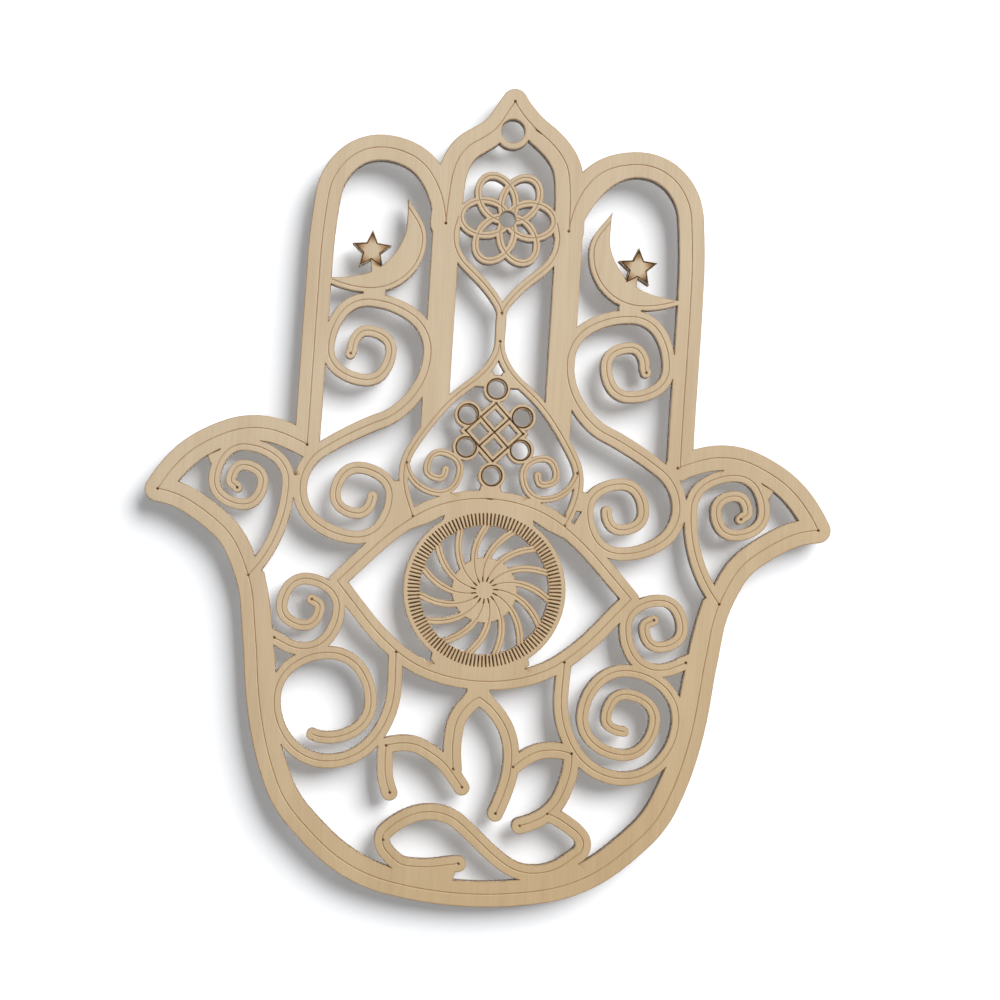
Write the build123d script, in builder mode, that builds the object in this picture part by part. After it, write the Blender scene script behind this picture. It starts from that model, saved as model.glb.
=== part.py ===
from build123d import *
import os
from math import atan2, cos, degrees, radians, sin, sqrt, tan

# Hamsa hand wall ornament: one fretted outline, cut through three glued plies.
# Sizes are in millimetres. X runs to the right, Z up, and the front face looks along -Y.
# The origin is the centre of the hanging hole on the back face.

# Plies, from the back to the front
BACK_VENEER = 0.7
CORE_PLY = 1.6
FRONT_VENEER = 0.7

# Widths of the bands of wood between the openings
RIM_WIDTH = 6.2
SHOULDER_END_WIDTH = 7.5
COLUMN_WIDTH = 6.6
COLUMN_SHIFT = 0.25
LINING_WIDTH = 3.8
LID_WIDTH = 4.2
SCROLL_WIDTH = 3.9
SCROLL_END_WIDTH = 2.5
LOTUS_WIDTH = 3.9
VASE_WIDTH = 2.3
CURL_WIDTH = 1.7
PETAL_WIDTH = 1.8
LATTICE_WIDTH = 2.0
SPOKE_WIDTH = 1.7

# Least bow for which a stretch of an edge is drawn as an arc
FLAT_SAGITTA = 0.02

# Hanging hole in the tip of the middle finger
HOLE_RADIUS = 2.9
BOSS_RADIUS = 4.4
TIP_RISE = 7.2

# Middle and outer fingers, as the middle line of the rim
COLUMN_X = 15.05
CLEFT_DROP = 23.5
FINGER_TOP_X = 31.2
FINGER_TOP_DROP = 6.1
FINGER_SIDE_X = 45.4

# How far the two sides differ: the left shoulder of the fingertip is drawn in, the right finger spread out
LEFT_SHOULDER_INSET = 1.1
RIGHT_FINGER_SPREAD = 0.9

# Eye: the heights of the palm are counted from its centre
EYE_DROP = 112.2
EYE_HALF_LENGTH = 36.0
LID_RISE = 22.3
IRIS_RADIUS = 19.9
WHEEL_RADIUS = 15.75
HUB_RADIUS = 8.0
SPOKES = 15
SPOKE_START_ANGLE = 16.0
SPOKE_END_ANGLE = -4.5

# Thumbs and palm, as the middle line of the rim
THUMB_ROOT_RISE = 32.7
THUMB_TOP_X = 57.3
THUMB_TOP_RISE = 36.0
THUMB_TIP_X = 80.9
THUMB_TIP_RISE = 19.7
WRIST_X = 57.7
PALM_BASE_DROP = 74.3

# Six-petalled flower in the middle finger
FLOWER_DROP = 21.5
PETALS = 6
PETAL_REACH = 5.75
PETAL_LENGTH = 11.5
PETAL_BREADTH = 8.5
FLOWER_HOLE_RADIUS = 2.0
FLOWER_HUB_RADIUS = 2.7

# Vase below the flower, with a lattice and six rings inside
VASE_LIP_X = 12.9
VASE_LIP_DROP = 26.2
VASE_WAIST_DROP = 45.0
VASE_NECK_LENGTH = 6.4
VASE_BELLY_X = 21.5
VASE_BELLY_RISE = 27.2
LATTICE_RISE = 38.6
LATTICE_PITCH = 5.0
RING_HOLE_RADIUS = 2.1
RING_RADIUS = 3.35
RING_REACH = 10.6
RING_SIDE_X = 6.65
RING_SIDE_REACH = 4.0
CURL_X = 12.7
CURL_RISE = 28.9
CURL_RADIUS = 5.9
CURL_STEP = 0.9

# Crescent and star in each outer finger
STAR_X = 32.6
STAR_DROP = 31.3
STAR_RADIUS = 5.0
STAR_WAIST_RADIUS = 2.3
STAR_NECK_WIDTH = 2.2
CRESCENT_BACK_X = 20.2
CRESCENT_THICKNESS = 4.2
CRESCENT_TIP_DROP = 18.1
CRESCENT_BOTTOM_DROP = 41.6
CRESCENT_NECK_WIDTH = 5.6

# Double scroll from the outer finger down to the eyelid
FINGER_SCROLL_X = 32.2
FINGER_SCROLL_DROP = 55.4
FINGER_SCROLL_RADIUS = 15.5
FINGER_SCROLL_SHRINK = 0.784
LID_SCROLL_SIDE_X = 46.5
LID_SCROLL_X = 32.3
LID_SCROLL_RISE = 21.2
LID_SCROLL_RADIUS = 10.3
LID_SCROLL_SHRINK = 0.81

# Scroll in each thumb, and the one beside each corner of the eye
THUMB_SCROLL_X = 60.2
THUMB_SCROLL_RISE = 23.0
THUMB_SCROLL_RADIUS = 10.9
THUMB_SCROLL_SHRINK = 0.81
SIDE_SCROLL_X = 43.5
SIDE_SCROLL_DROP = 6.7
SIDE_SCROLL_RADIUS = 10.3
SIDE_SCROLL_SHRINK = 0.815

# Lower scrolls: the radius falls by one step in each quarter turn
LOWER_SCROLL_X = 36.3
LOWER_SCROLL_DROP = 29.3
LOWER_SCROLL_RADIUS = 14.7
LOWER_SCROLL_STEP = 1.45
LOWER_STEM_X = 20.4

# Lotus and ribbon at the foot of the palm
LOTUS_APEX_GAP = 3.9
LOTUS_SIDE_DROP = 38.9
LOTUS_CORNER_X = 22.7
RIBBON_LIFT = 5.9
RIBBON_HEIGHT = 13.6

# Heights that follow from these sizes
EYE_Z = -EYE_DROP
neck_z = -VASE_WAIST_DROP - VASE_NECK_LENGTH
lotus_apex = -LID_RISE - LOTUS_APEX_GAP
ribbon_base = RIBBON_LIFT - PALM_BASE_DROP
ribbon_top = ribbon_base + RIBBON_HEIGHT


def spot(x, rise):
    """Gives a point whose height is counted from the centre of the eye."""
    return (x, EYE_Z + rise)


def palm(x, rise, heading):
    """Gives a station whose height is counted from the centre of the eye."""
    return (x, EYE_Z + rise, heading)


def volute(x, z, radius, start, quarters, turn=-1, shrink=1.0, step=0.0):
    """Gives a station at each quarter turn of a scroll that winds inwards."""
    stations = []
    for quarter in range(quarters + 1):
        angle = start + 90 * turn * quarter
        reach = Vector(radius, 0).rotate(Axis.Z, angle)
        stations.append((x + reach.X, z + reach.Y, angle + 90 * turn))
        radius = radius * shrink - step
    return stations


def mirrored(stations):
    """Gives the same line on the other side of the hand."""
    return [(-x, z, 180 - heading) for x, z, heading in stations]


def biarcs(stations):
    """Joins the stations by pairs of tangent arcs, each given by its start, first tangent and end."""
    arcs = []
    for (x0, z0, heading0), (x1, z1, heading1) in zip(stations, stations[1:]):
        first = Vector(cos(radians(heading0)), sin(radians(heading0)))
        last = Vector(cos(radians(heading1)), sin(radians(heading1)))
        span = Vector(x1 - x0, z1 - z0)
        along = span.dot(first + last)
        across = 2 * (1 - first.dot(last))
        if across < 1e-6:
            reach = span.dot(span) / (2 * along)
        else:
            reach = (sqrt(along**2 + across * span.dot(span)) - along) / across
        start = Vector(x0, z0)
        end = Vector(x1, z1)
        joint = (start + end + (first - last) * reach) / 2
        arcs.append((start, first, joint))
        arcs.append((joint, (end - last * reach) - (start + first * reach), end))
    return arcs


def edge_points(arc, width0, width1):
    """Gives the start, middle and end of an arc, each moved to its left by half of the band's width."""
    start, tangent, end = arc
    chord = end - start
    lean = radians(tangent.get_signed_angle(chord, Vector(0, 0, 1)))
    middle = (start + end) / 2 + chord.rotate(Axis.Z, -90) * (tan(lean / 2) / 2)
    points = []
    for point, direction, width in (
        (start, chord.rotate(Axis.Z, -degrees(lean)), width0),
        (middle, chord, (width0 + width1) / 2),
        (end, chord.rotate(Axis.Z, degrees(lean)), width1),
    ):
        points.append(point + direction.rotate(Axis.Z, 90).normalized() * (width / 2))
    return points


def draw_edge(points):
    """Draws one stretch of a band's edge, straight where its three points are in line."""
    start, middle, end = points
    if (middle - (start + end) / 2).length < FLAT_SAGITTA:
        Line(start, end)
    else:
        ThreePointArc(start, middle, end)


def band(stations, width, end_width=None):
    """Gives the face of a band of wood that follows the stations and has a round cap at each end."""
    arcs = biarcs(stations)
    lengths = [(end - start).length for start, tangent, end in arcs]
    taper = ((end_width or width) - width) / sum(lengths)
    left = []
    right = []
    run = 0.0
    for arc, length in zip(arcs, lengths):
        width0 = width + taper * run
        run += length
        width1 = width + taper * run
        left.append(edge_points(arc, width0, width1))
        right.append(edge_points(arc, -width0, -width1))
    with BuildSketch() as strip:
        with BuildLine():
            for points in left + right:
                draw_edge(points)
            for near, far, sign, heading in (
                (left[0][0], right[0][0], -1, stations[0][2]),
                (left[-1][2], right[-1][2], 1, stations[-1][2]),
            ):
                outward = Vector(cos(radians(heading)), sin(radians(heading))) * sign
                ThreePointArc(near, (near + far) / 2 + outward * ((near - far).length / 2), far)
        make_face()
    return strip.sketch


def outlined(*runs):
    """Gives the face inside the runs of stations, which meet end to end at sharp corners."""
    with BuildSketch() as shape:
        with BuildLine():
            for stations in runs:
                for arc in biarcs(stations):
                    draw_edge(edge_points(arc, 0, 0))
        make_face()
    return shape.sketch


def block(*corners):
    """Gives the face of a polygon with the given corners."""
    with BuildSketch() as shape:
        with BuildLine():
            Polyline(*corners, close=True)
        make_face()
    return shape.sketch


def shoulder(inset):
    """Gives the middle line of the rim from the fingertip down to the cleft."""
    return [
        (0, TIP_RISE, -58),
        (7.3 - inset, -0.5 - 0.85 * inset, -35),
        (COLUMN_X - 2.5 - 0.5 * inset, -5.7 - 0.3 * inset, -56),
        (COLUMN_X - 0.2 - 0.3 * inset, -14.5, -86),
        (COLUMN_X, -CLEFT_DROP, -90),
    ]


def outer_finger(spread):
    """Gives the middle line of the rim from the cleft over the outer finger to the thumb."""
    return [
        (COLUMN_X, -CLEFT_DROP, 86),
        (COLUMN_X + 4.5, -FINGER_TOP_DROP - 5.2, 52),
        (FINGER_TOP_X + 0.7 * spread, -FINGER_TOP_DROP, 0),
        (FINGER_SIDE_X - 1.4 + spread, -FINGER_TOP_DROP - 12.4, -84),
        (FINGER_SIDE_X - 0.4 + spread, -FINGER_TOP_DROP - 27.9, -89.4),
        palm(FINGER_SIDE_X + 0.6 * spread, THUMB_ROOT_RISE, -89.4),
    ]


def crescent(shift, thickness):
    """Gives the runs round a crescent: its outer edge, its end on the rim and its inner edge."""
    back = CRESCENT_BACK_X + shift
    front = back + thickness
    tip = (back + 5.2, -CRESCENT_TIP_DROP)
    end = FINGER_SIDE_X - 1.5
    return [
        [
            (*tip, -128),
            (back, -28.2, -90),
            (33.5 + 0.5 * shift, -CRESCENT_BOTTOM_DROP, 0),
            (end, 2.2 - CRESCENT_BOTTOM_DROP, 22),
        ],
        [(end, 2.2 - CRESCENT_BOTTOM_DROP, 90), (end, 3.1 - CRESCENT_BOTTOM_DROP, 90)],
        [
            (end, 3.1 - CRESCENT_BOTTOM_DROP, 180),
            (front + 10.6, 4.2 - CRESCENT_BOTTOM_DROP, 164),
            (front + 2.6, 9.9 - CRESCENT_BOTTOM_DROP, 124),
            (front, -24.5, 90),
            (*tip, 80),
        ],
    ]


# Rim of the three fingers
finger_rims = [
    band(shoulder(0), RIM_WIDTH, SHOULDER_END_WIDTH),
    band(mirrored(shoulder(LEFT_SHOULDER_INSET)), RIM_WIDTH, SHOULDER_END_WIDTH),
    band(outer_finger(RIGHT_FINGER_SPREAD), RIM_WIDTH),
    band(mirrored(outer_finger(0)), RIM_WIDTH),
]

# Wider inner side of the right finger's rim, above its column
right_finger = outer_finger(RIGHT_FINGER_SPREAD)
finger_rims.append(
    band([right_finger[0], (COLUMN_X + 5.3, -FINGER_TOP_DROP - 6.1, 52), right_finger[2]], RIM_WIDTH)
)

# Rim of the right half, from the root of the thumb round to the middle of the base
right_half = [
    band(
        [
            palm(FINGER_SIDE_X, THUMB_ROOT_RISE, 25),
            palm(THUMB_TOP_X, THUMB_TOP_RISE, 0),
            palm(THUMB_TIP_X - 10.9, THUMB_TOP_RISE - 4.2, -31),
            palm(THUMB_TIP_X, THUMB_TIP_RISE, -62),
        ],
        RIM_WIDTH,
    ),
    band(
        [
            palm(THUMB_TIP_X, THUMB_TIP_RISE, 186),
            palm(WRIST_X + 7.2, THUMB_TIP_RISE - 7.8, 219.5),
            palm(WRIST_X, 0.1, 250),
            palm(WRIST_X - 2.7, -14.8, 262),
            palm(WRIST_X - 4.2, -27.8, 262),
            palm(WRIST_X - 10.1, 24.6 - PALM_BASE_DROP, 247),
            palm(WRIST_X - 22.0, 10.2 - PALM_BASE_DROP, 221),
            palm(0, -PALM_BASE_DROP, 180),
        ],
        RIM_WIDTH,
    ),
]

# Wider inner side of the rim below the thumb and in the corner of the base
right_half.append(
    band(
        [
            palm(WRIST_X - 2.2, 0, 254),
            palm(WRIST_X - 5.2, -14.8, 262),
            palm(WRIST_X - 7.0, -29, 264),
        ],
        LINING_WIDTH,
    )
)
right_half.append(
    band(
        [
            palm(WRIST_X - 4.2, -27.8, 262),
            palm(WRIST_X - 10.7, 24.9 - PALM_BASE_DROP, 247),
            palm(WRIST_X - 22.5, 10.7 - PALM_BASE_DROP, 221),
            palm(0, -PALM_BASE_DROP, 180),
        ],
        RIM_WIDTH,
    )
)

# Column between the middle and outer fingers, cut off along the shoulder of the vase
columns = []
for side in (1, -1):
    inner_x = side * (COLUMN_X - COLUMN_WIDTH / 2) + COLUMN_SHIFT
    outer_x = side * (COLUMN_X + COLUMN_WIDTH / 2) + COLUMN_SHIFT
    columns.append(
        block(
            (inner_x, -FLOWER_DROP),
            (outer_x, -FLOWER_DROP),
            (outer_x, EYE_Z + 36.6),
            (inner_x, EYE_Z + 45.0),
        )
    )

# Vase: lip, neck, belly and foot, and the curl inside the foot
right_half.append(
    band(
        [
            (COLUMN_X - 2.9, -FLOWER_DROP - 0.3, -75),
            (VASE_LIP_X, -VASE_LIP_DROP, -92),
            (VASE_LIP_X - 3.4, -VASE_LIP_DROP - 7.2, -138),
            (3.0, 5.4 - VASE_WAIST_DROP, -130),
            (0, -VASE_WAIST_DROP, -95),
            (0, neck_z, -88),
            (3.2, neck_z - 7.6, -50),
            palm(VASE_BELLY_X - 11.9, 47.4, -42.5),
            palm(VASE_BELLY_X - 5.2, 39.3, -56),
            palm(VASE_BELLY_X, VASE_BELLY_RISE, -90),
            palm(VASE_BELLY_X - 2.9, 16.9, -114),
        ],
        VASE_WIDTH,
    )
)
curl = volute(CURL_X, EYE_Z + CURL_RISE, CURL_RADIUS, -90, 5, step=CURL_STEP)
curl_lead = [palm(VASE_BELLY_X - 0.5, VASE_BELLY_RISE + 2.7, -100)]
right_half.append(band(curl_lead + curl, CURL_WIDTH))

# Double scroll, from its coil in the finger to its coil on the eyelid
finger_coil = volute(
    FINGER_SCROLL_X, -FINGER_SCROLL_DROP, FINGER_SCROLL_RADIUS, 180, 6, shrink=FINGER_SCROLL_SHRINK
)
finger_coil.append((FINGER_SCROLL_X + 4.0, -FINGER_SCROLL_DROP - 1.3, -84))
lid_coil = [palm(LID_SCROLL_SIDE_X, LID_SCROLL_RISE + 1.3, -90)]
lid_coil += volute(
    LID_SCROLL_X, EYE_Z + LID_SCROLL_RISE, LID_SCROLL_RADIUS, -90, 5, shrink=LID_SCROLL_SHRINK
)
bend_x = (finger_coil[0][0] + lid_coil[0][0]) / 2 - 0.2
bend_z = (finger_coil[0][1] + lid_coil[0][1]) / 2 - 1.6
hip_x = finger_coil[0][0] + 7.5
hip_z = bend_z + 3.8
right_half.append(band([(bend_x, bend_z, -27)] + lid_coil, SCROLL_WIDTH, SCROLL_END_WIDTH))
finger_lead = [(bend_x, bend_z, 153), (hip_x, hip_z, 141)]
right_half.append(band(finger_lead + finger_coil, SCROLL_WIDTH, SCROLL_END_WIDTH))

# Crescent, its neck to the scroll below, the star and its neck
crescents = [
    outlined(*crescent(0.2, CRESCENT_THICKNESS + 0.7)),
    outlined(*[mirrored(run) for run in crescent(-0.8, CRESCENT_THICKNESS + 0.8)]),
]
neck_left = STAR_X - 1.3 - CRESCENT_NECK_WIDTH / 2
neck_right = STAR_X - 1.3 + CRESCENT_NECK_WIDTH / 2
neck_top = 1.4 - CRESCENT_BOTTOM_DROP
neck_foot = -FINGER_SCROLL_DROP + FINGER_SCROLL_RADIUS * FINGER_SCROLL_SHRINK
right_half.append(
    block((neck_left, neck_top), (neck_right, neck_top), (neck_right, neck_foot), (neck_left, neck_foot))
)
star_corners = []
for corner in range(10):
    reach = STAR_WAIST_RADIUS if corner % 2 else STAR_RADIUS
    turn = radians(90 + 36 * corner)
    star_corners.append((STAR_X + reach * cos(turn), reach * sin(turn) - STAR_DROP))
right_half.append(block(*star_corners))
star_foot = [(STAR_X - 0.9, -STAR_DROP - 1, -95), (STAR_X - 1.4, 4.0 - CRESCENT_BOTTOM_DROP, -95)]
right_half.append(band(star_foot, STAR_NECK_WIDTH))

# Scrolls in the thumb and beside the corner of the eye
thumb_coil = volute(
    THUMB_SCROLL_X, EYE_Z + THUMB_SCROLL_RISE, THUMB_SCROLL_RADIUS, 180, 6, shrink=THUMB_SCROLL_SHRINK
)
thumb_coil.append(palm(THUMB_SCROLL_X + 1.5, THUMB_SCROLL_RISE - 1.8, -125))
right_half.append(band([palm(WRIST_X, 0.1, 131)] + thumb_coil, SCROLL_WIDTH - 0.5, SCROLL_END_WIDTH))
right_half.append(
    block(spot(64.5, 31.0), spot(69.3, 28.6), spot(68.4, 26.4), spot(66.0, 28.7))
)
side_coil = volute(
    SIDE_SCROLL_X, EYE_Z - SIDE_SCROLL_DROP, SIDE_SCROLL_RADIUS, -90, 5, shrink=SIDE_SCROLL_SHRINK
)
side_coil.append(palm(SIDE_SCROLL_X - 1.6, 1.9 - SIDE_SCROLL_DROP, 25))
right_half.append(band([palm(WRIST_X - 4.7, -13.2, 208)] + side_coil, SCROLL_WIDTH - 0.5, SCROLL_END_WIDTH))

# Eyelids, and the gussets that tie them to the iris
right_half.append(
    band(
        [
            palm(0, LID_RISE, 0),
            palm(18.3, LID_RISE - 5.5, -35),
            palm(EYE_HALF_LENGTH, 0, -46.5),
        ],
        LID_WIDTH,
    )
)
right_half.append(
    band(
        [
            palm(0, -LID_RISE, 0),
            palm(20.5, 6.2 - LID_RISE, 37),
            palm(EYE_HALF_LENGTH, 0, 49),
        ],
        LID_WIDTH,
    )
)
right_half.append(
    block(
        spot(0, 16),
        spot(11.3, 16.4),
        spot(10.9, LID_RISE - 4.7),
        spot(14.6, LID_RISE - 6.8),
        spot(19.0, LID_RISE - 8.6),
        spot(20.0, LID_RISE - 7.3),
        spot(9, LID_RISE - 1.7),
        spot(0, LID_RISE),
    )
)
right_half.append(
    block(
        spot(0, -16),
        spot(11.8, -16.0),
        spot(12.1, 4.7 - LID_RISE),
        spot(9, 1.5 - LID_RISE),
        spot(0, -LID_RISE),
    )
)

lattice_z = EYE_Z + LATTICE_RISE

# Lines that differ between the two sides: lower scrolls, lotus and ribbon
coil = volute(
    LOWER_SCROLL_X, EYE_Z - LOWER_SCROLL_DROP, LOWER_SCROLL_RADIUS, -90, 8, turn=1, step=LOWER_SCROLL_STEP
)
stem = [palm(LOWER_STEM_X + 0.2, 5.9 - LID_RISE, -90), palm(LOWER_STEM_X, -25, -90)]
short_end = [(LOWER_SCROLL_X + 3.4, coil[4][1] + 0.6, 24)]
corner_x = LOTUS_CORNER_X
odd_bands = [
    band(stem + coil, SCROLL_WIDTH - 0.3, SCROLL_END_WIDTH),
    band(mirrored(stem + coil[:5] + short_end), SCROLL_WIDTH - 0.3, SCROLL_END_WIDTH + 0.4),
    band(
        [
            palm(0.4, lotus_apex, -28),
            palm(6.7, lotus_apex - 5.9, -57),
            palm(9.2, lotus_apex - 15.1, -90),
            palm(6.1, lotus_apex - 28.1, -112),
        ],
        LOTUS_WIDTH,
    ),
    band(
        [
            palm(0.4, lotus_apex, 205),
            palm(-4.2, lotus_apex - 4.8, 243),
            palm(-5.4, lotus_apex - 11.4, 268),
            palm(-4.9, lotus_apex - 17.9, 277),
        ],
        LOTUS_WIDTH + 0.5,
    ),
    band(
        [
            palm(1.1 - corner_x, -LOTUS_SIDE_DROP - 0.4, 18),
            palm(6.2 - corner_x, 0.5 - LOTUS_SIDE_DROP, 0),
            palm(-9.3, -LOTUS_SIDE_DROP - 2.2, -32),
            palm(-2.5, -LOTUS_SIDE_DROP - 9.5, -54),
        ],
        LOTUS_WIDTH,
    ),
    band(
        [
            palm(1.1 - corner_x, -LOTUS_SIDE_DROP - 0.4, -95),
            palm(1.2 - corner_x, -LOTUS_SIDE_DROP - 6.5, -86),
            palm(2.7 - corner_x, -LOTUS_SIDE_DROP - 11.8, -66),
        ],
        LOTUS_WIDTH,
    ),
    band(
        [
            palm(9.7, -LOTUS_SIDE_DROP - 3.8, 44),
            palm(14.5, -LOTUS_SIDE_DROP - 0.2, 27),
            palm(corner_x - 2.7, 0.9 - LOTUS_SIDE_DROP, 0),
            palm(corner_x + 1.1, 0.3 - LOTUS_SIDE_DROP, -14),
        ],
        LOTUS_WIDTH,
    ),
    band(
        [
            palm(corner_x + 1.1, 0.3 - LOTUS_SIDE_DROP, -84),
            palm(corner_x + 0.7, -LOTUS_SIDE_DROP - 5.8, -104),
            palm(corner_x - 2.5, ribbon_top + 2.7, -129),
            palm(12.2, ribbon_top - 2.2, -164),
        ],
        LOTUS_WIDTH,
    ),
    band(
        [
            palm(18.8, ribbon_top + 1.2, -14),
            palm(25.5, ribbon_base + 0.84 * RIBBON_HEIGHT, -34),
            palm(28.1, ribbon_base + 0.57 * RIBBON_HEIGHT, -88),
            palm(24.2, ribbon_base + 0.22 * RIBBON_HEIGHT, -140),
            palm(15.5, ribbon_base, 180),
            palm(4.0, ribbon_base + 0.43 * RIBBON_HEIGHT, 138),
            palm(-9.2, ribbon_top, 180),
            palm(-18.9, ribbon_base + 0.71 * RIBBON_HEIGHT, -140),
            palm(-21.1, ribbon_base + 0.47 * RIBBON_HEIGHT, -90),
            palm(-17.4, ribbon_base + 0.08 * RIBBON_HEIGHT, -36),
            palm(-11.5, ribbon_base, 0),
            palm(-2.2, ribbon_base + 1.3, 8),
        ],
        LOTUS_WIDTH,
    ),
]

# Fillets of wood that tie the lotus to the eyelid, carry the top and bottom rings,
# and fill the space under the ribbon's tail
odd_bands.append(
    block(
        spot(-2.7, -LID_RISE - 1.2),
        spot(2.9, -LID_RISE - 1.2),
        spot(3.0, lotus_apex + 1.4),
        spot(4.5, lotus_apex - 0.5),
        spot(0.4, lotus_apex - 2.3),
        spot(-4.3, lotus_apex - 1.4),
        spot(-2.8, lotus_apex + 1.1),
    )
)
odd_bands.append(
    block(
        (-2.5, lattice_z + RING_REACH + 4.8),
        (-1.0, lattice_z + RING_REACH + 3.9),
        (-0.9, lattice_z + RING_REACH + 3.4),
        (0.9, lattice_z + RING_REACH + 3.4),
        (1.0, lattice_z + RING_REACH + 3.9),
        (2.5, lattice_z + RING_REACH + 4.8),
        (5.4, lattice_z + RING_REACH + 0.3),
        (-5.4, lattice_z + RING_REACH + 0.3),
    )
)
odd_bands.append(
    block(
        (-2.4, lattice_z - RING_REACH - 2.5),
        (2.4, lattice_z - RING_REACH - 2.5),
        (3.2, EYE_Z + LID_RISE),
        (-3.2, EYE_Z + LID_RISE),
    )
)
odd_bands.append(
    block(
        spot(-12.0, ribbon_base + 0.9),
        spot(-2.2, ribbon_base + 1.1),
        spot(-3.1, ribbon_base - 2.0),
        spot(-3.1, 1.0 - PALM_BASE_DROP),
        spot(-12.0, 1.0 - PALM_BASE_DROP),
    )
)

# Fillets between the foot of the vase and the coil beside it: the right one leaves a small opening
right_half.append(block(spot(21.2, 25.4), spot(23.7, 25.4), spot(23.6, 20.6), spot(20.9, 20.6)))
odd_bands.append(block(spot(22.6, 20.6), spot(25.0, 14.7), spot(22.0, 14.5), spot(20.2, 16.5)))
odd_bands.append(
    block(spot(-20.6, 21.0), spot(-23.6, 21.0), spot(-25.0, 14.7), spot(-22.0, 14.5), spot(-18.5, 16.8))
)

# Flower: oval petals that cross their neighbours, round a small hub
with BuildSketch() as flower:
    with Locations((0, -FLOWER_DROP)):
        Circle(FLOWER_HUB_RADIUS)
        Circle(FLOWER_HOLE_RADIUS, mode=Mode.SUBTRACT)
petals = [flower.sketch]
for petal in range(PETALS):
    with BuildSketch() as oval:
        with Locations((0, -FLOWER_DROP)):
            with PolarLocations(PETAL_REACH, 1, start_angle=360 / PETALS * petal):
                Ellipse((PETAL_LENGTH + PETAL_WIDTH) / 2, (PETAL_BREADTH + PETAL_WIDTH) / 2)
                Ellipse(
                    (PETAL_LENGTH - PETAL_WIDTH) / 2,
                    (PETAL_BREADTH - PETAL_WIDTH) / 2,
                    mode=Mode.SUBTRACT,
                )
        with Locations((0, -FLOWER_DROP)):
            Circle(FLOWER_HOLE_RADIUS, mode=Mode.SUBTRACT)
    petals.append(oval.sketch)

# Lattice of four windows, turned onto its corner
lattice_side = 2 * LATTICE_PITCH + LATTICE_WIDTH
with BuildSketch() as lattice:
    with Locations((0, lattice_z)):
        Rectangle(lattice_side, lattice_side, rotation=45)
        with Locations(Location((0, 0), 45)):
            with GridLocations(LATTICE_PITCH, LATTICE_PITCH, 2, 2):
                Rectangle(LATTICE_PITCH - LATTICE_WIDTH, LATTICE_PITCH - LATTICE_WIDTH, mode=Mode.SUBTRACT)

# Rings round the lattice
ring_centres = [(0, lattice_z + RING_REACH), (0, lattice_z - RING_REACH)]
for side in (1, -1):
    for up in (1, -1):
        ring_centres.append((side * RING_SIDE_X, lattice_z + up * RING_SIDE_REACH))

# Wheel in the eye: a ring for the iris, a hub and curved spokes
with BuildSketch() as iris:
    with Locations((0, EYE_Z)):
        Circle(IRIS_RADIUS)
        Circle(WHEEL_RADIUS, mode=Mode.SUBTRACT)
        Circle(HUB_RADIUS)
spokes = []
spoke_length = WHEEL_RADIUS - HUB_RADIUS
for spoke in range(SPOKES):
    stations = []
    for share in (-0.1, 1.1):
        reach = HUB_RADIUS + spoke_length * share
        angle = SPOKE_START_ANGLE + (SPOKE_END_ANGLE - SPOKE_START_ANGLE) * share + 360 / SPOKES * spoke
        sweep = radians(SPOKE_END_ANGLE - SPOKE_START_ANGLE) * reach / spoke_length
        heading = angle + degrees(atan2(sweep, 1))
        stations.append(palm(reach * cos(radians(angle)), reach * sin(radians(angle)), heading))
    spokes.append(band(stations, SPOKE_WIDTH))

# The whole fretwork, with the round holes cut last
with BuildSketch() as fretwork:
    add(right_half)
    mirror(about=Plane.YZ)
    add(finger_rims + columns + crescents + odd_bands + petals + spokes + [lattice.sketch, iris.sketch])
    Circle(BOSS_RADIUS)
    with Locations(*ring_centres):
        Circle(RING_RADIUS)
        Circle(RING_HOLE_RADIUS, mode=Mode.SUBTRACT)
    Circle(HOLE_RADIUS, mode=Mode.SUBTRACT)

os.makedirs("parts", exist_ok=True)

with BuildPart() as back_veneer:
    with BuildSketch(Plane.XZ):
        add(fretwork.sketch)
    extrude(amount=BACK_VENEER)
back_veneer.part.label = "back_veneer"
export_step(back_veneer.part, "parts/back_veneer.step")

with BuildPart() as core_ply:
    with BuildSketch(Plane.XZ.offset(BACK_VENEER)):
        add(fretwork.sketch)
    extrude(amount=CORE_PLY)
core_ply.part.label = "core_ply"
export_step(core_ply.part, "parts/core_ply.step")

with BuildPart() as front_veneer:
    with BuildSketch(Plane.XZ.offset(BACK_VENEER + CORE_PLY)):
        add(fretwork.sketch)
    extrude(amount=FRONT_VENEER)
front_veneer.part.label = "front_veneer"
export_step(front_veneer.part, "parts/front_veneer.step")
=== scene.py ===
import cmath
from collections import namedtuple
from math import ceil, cos, radians, sin, sqrt, tau

import bpy
from bpy.props import FloatProperty, FloatVectorProperty, IntProperty, PointerProperty
from mathutils import Matrix, Vector
from mathutils.bvhtree import BVHTree
from mathutils.geometry import delaunay_2d_cdt
from mathutils.kdtree import KDTree


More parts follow.
